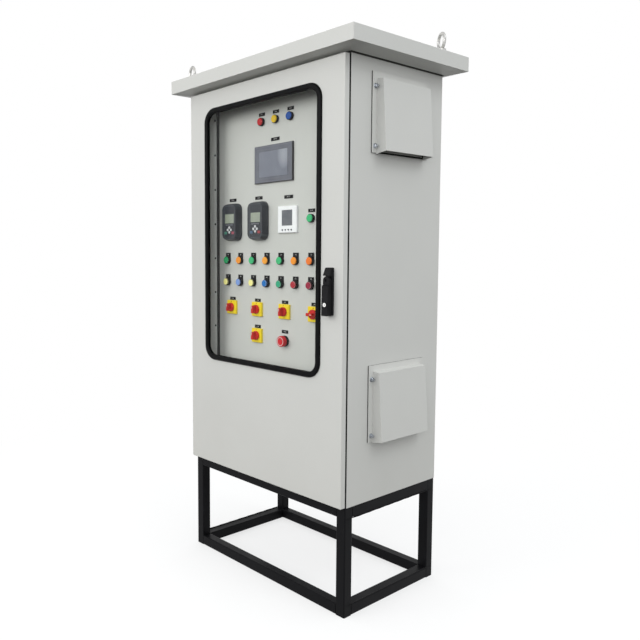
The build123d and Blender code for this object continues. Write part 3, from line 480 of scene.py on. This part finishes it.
def keypadCase(centres, middleZ):
    # housing with a printed film on its face
    mould = mouldSettings["keypadSlate"]
    material, shader, wire = newFinish("keypadCase", **{"Specular IOR Level": 0.4})
    place = objectPlace(wire)
    across, _, up = axes(wire, place)
    second = across > (centres[0] + centres[1]) / 2
    wide = abs(across - centres[0] - second * (centres[1] - centres[0]))
    tall = abs(up - middleZ)
    facing = axes(wire, wire.add("ShaderNodeNewGeometry", out="Normal"))[1] < -0.95
    half, line = overlaySettings["half"], overlaySettings["line"]
    film = (wide < half[0]) * (tall < half[1]) * facing
    filmEdgeHighlight = (wide < half[0] + line) * (tall < half[1] + line) * facing
    grain = noise(wire, place, mould["grain"], 2.0, 0.6)
    tone = remap(wire, noise(wire, place, 25, 3.0), 0.35, 0.65, 0, 1)
    colour = mixColour(wire, tone, mould["colour"], mould["shade"])
    # painted highlight: a lighter line along the film's edge
    colour = mixColour(wire, filmEdgeHighlight, colour, overlaySettings["edgeHighlightColour"])
    wire.plug(shader.inputs["Base Color"], mixColour(wire, film, colour, overlaySettings["film"]))
    vary(wire, shader.inputs["Roughness"], film, 0, 1, mould["roughness"], overlaySettings["gloss"])
    wire.plug(shader.inputs["Normal"], bump(wire, grain, 0.08, 0.0003))
    return material


def filterMat():
    material, shader, wire = newFinish("filterMat", Roughness=0.9)
    place = objectPlace(wire)
    fibre = noise(wire, place, 180, 6.0, 0.7)
    colour = mixColour(wire, remap(wire, fibre, 0.3, 0.7, 0, 1), (0.72, 0.72, 0.70), (0.45, 0.45, 0.43))
    wire.plug(shader.inputs["Base Color"], colour)
    wire.plug(shader.inputs["Normal"], bump(wire, fibre, 0.8, 0.003))
    return material


def touchCase():
    colours = screenSettings["touch"]
    material, shader, wire = newFinish("touchCase", Roughness=0.36)
    place = objectPlace(wire)
    across, _, up = axes(wire, place)
    low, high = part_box("touch_screen_case")
    facing = axes(wire, wire.add("ShaderNodeNewGeometry", out="Normal"))[1] < -0.9
    # the case sides are black; strips along the lower and right edges of the front are painted black as
    # shade
    clearOfShadedEdges = (across < high[0] - colours["edge"]) * (up > low[2] + colours["edge"])
    cloud = remap(wire, noise(wire, place, 40, 3.0), 0.35, 0.65, 0, 0.3)
    front = mixColour(wire, cloud, colours["border"], colours["inside"])
    wire.plug(shader.inputs["Base Color"], mixColour(wire, facing * clearOfShadedEdges, colours["sides"], front))
    return material


jointRange = (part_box("door_panel")[1][1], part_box("side_panel_right")[0][1])
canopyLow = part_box("roof_canopy")[0][2]
plainCoat = powderCoat("warmGrey")
jointShadedCoat = powderCoat("warmGrey", jointRange)
panelCoat = powderCoat("panelGrey")
zinc = bareMetal("zincPlate")
galvanised = bareMetal("galvanised")
plastics = {name: mouldedPlastic(name) for name in mouldSettings}
glass = windowGlass()
sharedFinishes = {
    "stand_legs stand_rails": standPaint(),
    "back_panel top_plate roof_canopy vent_cowls": plainCoat,
    "side_panel_left side_panel_right front_frame door_panel": jointShadedCoat,
    "hinge_body_leaves hinge_door_leaves": plainCoat,
    "inner_panel": panelCoat,
    "panel_uprights": powderCoat("uprightGrey"),
    "floor_plate gland_plate roof_rails mounting_plate": galvanised,
    "lifting_eyes mounting_rails": zinc,
    "handle_spindle": bareMetal("spindleSteel"),
    "lock_cylinder": bareMetal("lockChrome"),
    "vent_gaskets door_seal window_gasket": plastics["gasketRubber"],
    "panel_edge_seals": plastics["sealGrey"],
    "handle_base handle_lever": plastics["handleBlack"],
    "lamp_bezels button_bezels stop_collar stop_plunger": plastics["deviceBlack"],
    "label_plates": plastics["labelBlack"],
    "meter_case": plastics["meterWhite"],
    "switch_plates": plastics["switchYellow"],
    "switch_knob_1 switch_knob_2 switch_knob_3 switch_knob_4 switch_knob_5": plastics["knobRed"],
    "stop_head": plastics["stopRed"],
    "switchgear": plastics["switchgearGrey"],
    "fan_frame fan_rotor": plastics["fanBlack"],
    "touch_screen_case": touchCase(),
    "window_pane": glass,
    "intake_filter": filterMat(),
}
for names, material in sharedFinishes.items():
    for nodeName in names.split():
        dress(nodeName, material)


def middle(nodeName):
    low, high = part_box(nodeName)
    return [(a + b) / 2 for a, b in zip(low, high)]


windowMiddles = sorted((low[0] + high[0]) / 2 for low, high in islands("display_windows"))
keypadCentres = windowMiddles[:2]
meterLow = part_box("meter_case")[0]
buttonZ = middle("button_1")[2]
meterZ = middle("meter_case")[2]
dress("lamp_lenses", lampLens(buttonZ + lensSettings["aboveButtons"], meterZ + lensSettings["aboveMeter"]))
dress("touch_screen_glass", touchGlass(middle("touch_screen_glass")))
dress("display_windows", displayGlass(meterLow[0]))
dress("keypad_housings", keypadCase(keypadCentres, meterZ))
smallLow, startHigh = meterZ - keySettings["smallDown"], meterZ - keySettings["startDown"]
dress("panel_keys", panelKeys(keypadCentres, meterLow[0], smallLow, startHigh))
for i, name in enumerate(capSettings["row"], 1):
    dress(f"button_{i}", buttonCap(f"cap{i}", capSettings[name], middle(f"button_{i}")))
print("stage: finishes on every node")


# Small pieces that the solids leave to this file
def meshPiece(name, build, material, body):
    mesh = bpy.data.meshes.new(name)
    work = bmesh.new()
    build(work)
    bmesh.ops.recalc_face_normals(work, faces=work.faces)
    work.to_mesh(mesh)
    work.free()
    mesh.materials.append(material)
    piece = bpy.data.objects.new(name, mesh)
    scene.collection.objects.link(piece)
    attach(piece, body)
    return piece


def turned(work, profile, sides, place):
    # rings of points turned about the local Z axis; profile holds (radius, height)
    rings = []
    for radius, height in profile:
        if radius == 0:
            rings.append([work.verts.new(place @ Vector((0, 0, height)))])
            continue
        steps = [2 * pi * i / sides for i in range(sides)]
        points = [Vector((radius * cos(a), radius * sin(a), height)) for a in steps]
        rings.append([work.verts.new(place @ point) for point in points])
    for lower, upper in zip(rings, rings[1:]):
        for i in range(sides):
            corners = [lower[i % len(lower)], lower[(i + 1) % len(lower)],
                       upper[(i + 1) % len(upper)], upper[i % len(upper)]]
            unique = list(dict.fromkeys(corners))
            if len(unique) > 2:
                work.faces.new(unique)


towardsRight = Matrix.Rotation(pi / 2, 4, "Y")  # local Z points along +X
towardsFront = Matrix.Rotation(pi / 2, 4, "X")  # local Z points along -Y

boltSettings = {
    "washerRadius": 0.0086, "washerThickness": 0.0018, "headAcross": 0.012, "headHeight": 0.006,
    "chamfer": 0.0008, "studRadius": 0.004, "studHeight": 0.0045,
    "sideInset": 0.013, "lowBolt": 0.022, "highBolt": 0.2135, "flangeSheet": 0.002,
}


def boltOn(work, spot):
    b = boltSettings
    place = Matrix.Translation(spot) @ towardsRight
    washer = b["washerThickness"]
    turned(work, [(0, 0), (b["washerRadius"], 0), (b["washerRadius"], washer * 0.8),
                  (b["washerRadius"] * 0.95, washer), (0, washer)], 28, place)
    corner = b["headAcross"] / 2 / cos(pi / 6)
    top = washer + b["headHeight"]
    turned(work, [(0, washer), (corner, washer), (corner, top - b["chamfer"]),
                  (corner * 0.88, top), (0, top)], 6, place)
    stud = b["studRadius"]
    end = top + b["studHeight"]
    turned(work, [(stud, top), (stud, end - b["chamfer"]), (stud * 0.8, end), (0, end)], 16, place)


def ventBolts(work):
    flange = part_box("vent_cowls")
    for low, high in islands("vent_gaskets"):
        for y in (low[1] + boltSettings["sideInset"], high[1] - boltSettings["sideInset"]):
            for up in (boltSettings["lowBolt"], boltSettings["highBolt"]):
                boltOn(work, Vector((flange[0][0] + boltSettings["flangeSheet"], y, low[2] + up)))


meshPiece("ventBolts", ventBolts, bareMetal("boltSteel"), "cabinet")

screwSettings = {"radius": 0.0042, "height": 0.0026, "edgeInset": 0.0055,
                 "pitch": 0.137, "topInset": 0.133, "count": 10}


def panelScrews(work):
    r, h = screwSettings["radius"], screwSettings["height"]
    profile = [(0, 0), (r, 0), (r * 0.98, h * 0.45), (r * 0.8, h * 0.85), (r * 0.45, h),
               (r * 0.3, h * 0.5), (0, h * 0.4)]
    for low, high in islands("panel_uprights"):
        edge = high[0] - screwSettings["edgeInset"] if high[0] < 0 else low[0] + screwSettings["edgeInset"]
        for i in range(screwSettings["count"]):
            spot = (edge, low[1], high[2] - screwSettings["topInset"] - i * screwSettings["pitch"])
            turned(work, profile, 18, Matrix.Translation(spot) @ towardsFront)


meshPiece("panelScrews", panelScrews, plastics["deviceBlack"], "cabinet")

tagSettings = {"sizeShare": 0.155, "proud": 0.0002, "legendDown": 0.0075, "legendSize": 0.0068}


def engrave(work, words, size, spot):
    curve = bpy.data.curves.new("words", "FONT")
    curve.body = words
    curve.size = size
    curve.align_x = "CENTER"
    curve.align_y = "CENTER"
    curve.resolution_u = 2
    curve.extrude = tagSettings["proud"]
    holder = bpy.data.objects.new("words", curve)
    mesh = holder.to_mesh()
    mesh.transform(Matrix.Translation(spot) @ towardsFront)
    work.from_mesh(mesh)
    holder.to_mesh_clear()
    bpy.data.objects.remove(holder)
    bpy.data.curves.remove(curve)


def tagNumerals(work):
    plates = sorted(islands("label_plates"), key=lambda box: (-round(box[1][2], 2), box[0][0]))
    for i, (low, high) in enumerate(plates, 1):
        isLegend = high[2] - low[2] > 0.02
        x = (low[0] + high[0]) / 2
        z = high[2] - tagSettings["legendDown"] if isLegend else (low[2] + high[2]) / 2
        words = f"{i:02d}" if isLegend else f"{i:02d}-{i + 10:02d}"
        size = tagSettings["legendSize"] if isLegend else (high[0] - low[0]) * tagSettings["sizeShare"]
        engrave(work, words, size, (x, low[1], z))


meshPiece("tagNumerals", tagNumerals, plastics["markWhite"], "cabinet")

stopRing = {"inner": 0.0135, "outer": 0.0155, "proud": 0.0003}


def stopHeadRing(work):
    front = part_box("stop_head")[0][1]
    x, _, z = middle("stop_head")
    place = Matrix.Translation((x, front, z)) @ towardsFront
    turned(work, [(stopRing["inner"], 0), (stopRing["inner"], stopRing["proud"]),
                  (stopRing["outer"], stopRing["proud"]), (stopRing["outer"], 0)], 40, place)


meshPiece("stopHeadRing", stopHeadRing, plastics["markWhite"], "stop_head")

def inlay(work, outline, place, proud):
    # a thin flat bar let into a face that looks to the front
    x, y, z = place
    front = [work.verts.new((x + a, y - proud, z + b)) for a, b in outline]
    back = [work.verts.new((x + a, y + proud, z + b)) for a, b in outline]
    work.faces.new(front)
    work.faces.new(back[::-1])
    for i in range(len(outline)):
        after = (i + 1) % len(outline)
        work.faces.new((front[i], front[after], back[after], back[i]))


pointer = {"width": 0.0022, "length": 0.010, "inset": 0.004, "proud": 0.0003, "acrossKnob": 4}


def pointerBar(work, nodeName, turnedAcross):
    low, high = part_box(nodeName)
    x, _, z = middle(nodeName)
    half = pointer["width"] / 2
    reach = (high[2] - low[2]) / 2 - pointer["inset"]
    foot = reach - pointer["length"]
    outline = [(-half, foot), (half, foot), (half, reach), (-half, reach)]
    if turnedAcross:
        outline = [(b, -a) for a, b in outline]
    inlay(work, outline, (x, low[1], z), pointer["proud"])


slotSettings = {"width": 0.0020, "length": 0.0075, "proud": 0.0002, "steps": 8}


# painted shade: the keyway is drawn as a thin black bar on the cylinder's face in place of a recess
def lockSlot(work):
    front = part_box("lock_cylinder")[0][1]
    x, _, z = middle("lock_cylinder")
    radius = slotSettings["width"] / 2
    reach = slotSettings["length"] / 2 - radius
    arc = [pi * i / slotSettings["steps"] for i in range(slotSettings["steps"] + 1)]
    upper = [(radius * cos(a), reach + radius * sin(a)) for a in arc]
    inlay(work, upper + [(-a, -b) for a, b in upper], (x, front, z), slotSettings["proud"])


meshPiece("lockSlot", lockSlot, plastics["deviceBlack"], "lock_cylinder")

plateMark = {"radius": 0.0016, "down": 0.0055, "proud": 0.0003}


def plateMarks(work):
    for low, high in islands("switch_plates"):
        if high[0] - low[0] > 0.03:
            spot = ((low[0] + high[0]) / 2, low[1], high[2] - plateMark["down"])
            place = Matrix.Translation(spot) @ towardsFront
            turned(work, [(0, -plateMark["proud"]), (plateMark["radius"], -plateMark["proud"]),
                          (plateMark["radius"], plateMark["proud"]), (0, plateMark["proud"])], 16, place)


meshPiece("plateMarks", plateMarks, plastics["deviceBlack"], "cabinet")

weldSettings = {"leg": 0.0034, "ripple": 0.0005, "endInset": 0.0045, "steps": 28, "waves": 9}


def weldBead(work, start, run, out, rise):
    # one fillet weld: run is its length along the joint, out and rise are the two faces it lies on
    rings = []
    for i in range(weldSettings["steps"] + 1):
        share = i / weldSettings["steps"]
        leg = weldSettings["leg"] + weldSettings["ripple"] * sin(2 * pi * weldSettings["waves"] * share)
        leg *= min(1, 6 * share + 0.3, 6 * (1 - share) + 0.3)
        at = start + run * share
        bulge = (out + rise) * leg * 0.62
        rings.append([work.verts.new(at + v) for v in (Vector((0, 0, 0)), out * leg, bulge, rise * leg)])
    for lower, upper in zip(rings, rings[1:]):
        for j in range(4):
            work.faces.new((lower[j], lower[(j + 1) % 4], upper[(j + 1) % 4], upper[j]))
    work.faces.new(rings[0])
    work.faces.new(rings[-1][::-1])


def standWelds(work):
    legs, rails = islands("stand_legs"), islands("stand_rails")
    middleZ = sum(low[2] + high[2] for low, high in legs) / (2 * len(legs))
    for low, high in rails:
        along = 0 if high[0] - low[0] > high[1] - low[1] else 1
        side = 1 - along
        isLow = high[2] < middleZ
        edge = high[2] if isLow else low[2]
        rise = Vector((0, 0, 1 if isLow else -1))
        for end, sign in ((low[along], 1), (high[along], -1)):
            start = Vector((0, 0, edge))
            start[along] = end
            start[side] = low[side] + weldSettings["endInset"]
            run, out = Vector((0, 0, 0)), Vector((0, 0, 0))
            run[side] = high[side] - low[side] - 2 * weldSettings["endInset"]
            out[along] = sign
            weldBead(work, start, run, out, rise)


meshPiece("standWelds", standWelds, sharedFinishes["stand_legs stand_rails"], "cabinet")

for i in range(1, 6):
    knob = f"switch_knob_{i}"
    isAcross = i == pointer["acrossKnob"]
    meshPiece(f"knobPointer{i}", lambda work: pointerBar(work, knob, isAcross),
              plastics["markWhite"], knob)
print("stage: small pieces made")

# Camera at the photograph's place
cameraSettings = {
    "place": (1.8608, -1.9586, 1.2196), "yaw": -0.8932, "pitch": -0.0781, "roll": -0.0036,
    "focal": 692.5, "centre": (216.2, 305.6), "frame": 640, "sensor": 36,
}


def makeCamera():
    c = cameraSettings
    lens = bpy.data.cameras.new("camera")
    lens.sensor_width = c["sensor"]
    lens.lens = c["focal"] / c["frame"] * c["sensor"]
    lens.shift_x = (c["frame"] / 2 - c["centre"][0]) / c["frame"]
    lens.shift_y = (c["centre"][1] - c["frame"] / 2) / c["frame"]
    lens.clip_end = 100
    forward = Vector((sin(c["yaw"]) * cos(c["pitch"]), cos(c["yaw"]) * cos(c["pitch"]), sin(c["pitch"])))
    right = Vector((cos(c["yaw"]), -sin(c["yaw"]), 0))
    up = right.cross(forward)
    rolledRight = right * cos(c["roll"]) + up * sin(c["roll"])
    rolledUp = up * cos(c["roll"]) - right * sin(c["roll"])
    camera = bpy.data.objects.new("camera", lens)
    turn = Matrix((rolledRight, rolledUp, -forward)).transposed().to_4x4()
    camera.matrix_world = Matrix.Translation(c["place"]) @ turn
    scene.collection.objects.link(camera)
    scene.camera = camera


makeCamera()

# Studio: pale floor, soft sky, three large lamps
studio = {
    "floorSize": 14, "lampTarget": (0, 0, 1.1), "floorColour": (0.06, 0.06, 0.056, 1),
    "shadowShare": 0.35, "fadeFrom": 0.7, "fadeTo": 2.4,
    "skyHigh": (1.02, 1.04, 1.05), "skyLow": (0.04, 0.04, 0.04),
}
lamps = {
    "front": {"place": (-1.3, -4.9, 2.7), "size": 2.4, "power": 84, "colour": (1, 0.99, 0.97)},
    "side": {"place": (3.4, 0.4, 4.9), "size": 1.7, "power": 34, "colour": (0.93, 0.98, 1)},
    "fill": {"place": (3.3, -4.0, 2.3), "size": 2.4, "power": 46, "colour": (0.98, 0.99, 1)},
}


def whiteWhereSeen(wire):
    # true for what the camera sees, directly, mirrored or through glass
    seen = wire.add("ShaderNodeLightPath", out="Is Camera Ray")
    for ray in ("Is Glossy Ray", "Is Transmission Ray"):
        seen = wire.maths("MAXIMUM", seen, wire.add("ShaderNodeLightPath", out=ray))
    return seen


def makeStudio():
    mesh = bpy.data.meshes.new("floor")
    half = studio["floorSize"] / 2
    corners = [(-half, -half, 0), (half, -half, 0), (half, half, 0), (-half, half, 0)]
    mesh.from_pydata(corners, [], [(0, 1, 2, 3)])
    floor = bpy.data.objects.new("floor", mesh)
    scene.collection.objects.link(floor)
    material, shader, wire = newFinish("floorWhite")
    tree = material.node_tree
    place = objectPlace(wire)
    length = wire.add("ShaderNodeVectorMath", {"operation": "LENGTH"}, {0: place}, out="Value")
    shadow = remap(wire, length, studio["fadeFrom"], studio["fadeTo"], studio["shadowShare"], 0)
    matt = wire.add("ShaderNodeBsdfDiffuse", None, {"Color": (0.9, 0.9, 0.9, 1)})
    white = wire.add("ShaderNodeEmission", None, {"Color": (1, 1, 1, 1), "Strength": 1.0})
    grey = wire.add("ShaderNodeBsdfDiffuse", None, {"Color": studio["floorColour"]})
    seen = wire.add("ShaderNodeMixShader", None, {0: shadow, 1: white, 2: matt})
    whole = wire.add("ShaderNodeMixShader", None, {0: whiteWhereSeen(wire), 1: grey, 2: seen})
    tree.links.new(whole.socket, tree.nodes["Material Output"].inputs["Surface"])
    tree.nodes.remove(shader)
    mesh.materials.append(material)

    world = bpy.data.worlds.new("studioSky")
    world.use_nodes = True
    scene.world = world
    tree = world.node_tree
    wire = Wire(tree)
    direction = wire.add("ShaderNodeTexCoord", out="Generated")
    height = axes(wire, direction)[2]
    sky = mixColour(wire, remap(wire, height, -0.25, 0.06, 0, 1), studio["skyLow"], studio["skyHigh"])
    shown = mixColour(wire, whiteWhereSeen(wire), sky, (1, 1, 1))
    wire.plug(tree.nodes["Background"].inputs["Color"], shown)
    for name, lamp in lamps.items():
        light = bpy.data.lights.new(name, "AREA")
        light.size = lamp["size"]
        light.energy = lamp["power"]
        light.color = lamp["colour"]
        holder = bpy.data.objects.new(name, light)
        aim = Vector(studio["lampTarget"]) - Vector(lamp["place"])
        turn = aim.to_track_quat("-Z", "Y").to_matrix().to_4x4()
        holder.matrix_world = Matrix.Translation(lamp["place"]) @ turn
        scene.collection.objects.link(holder)


makeStudio()
scene.view_settings.view_transform = "Standard"
print("stage: camera and studio ready")
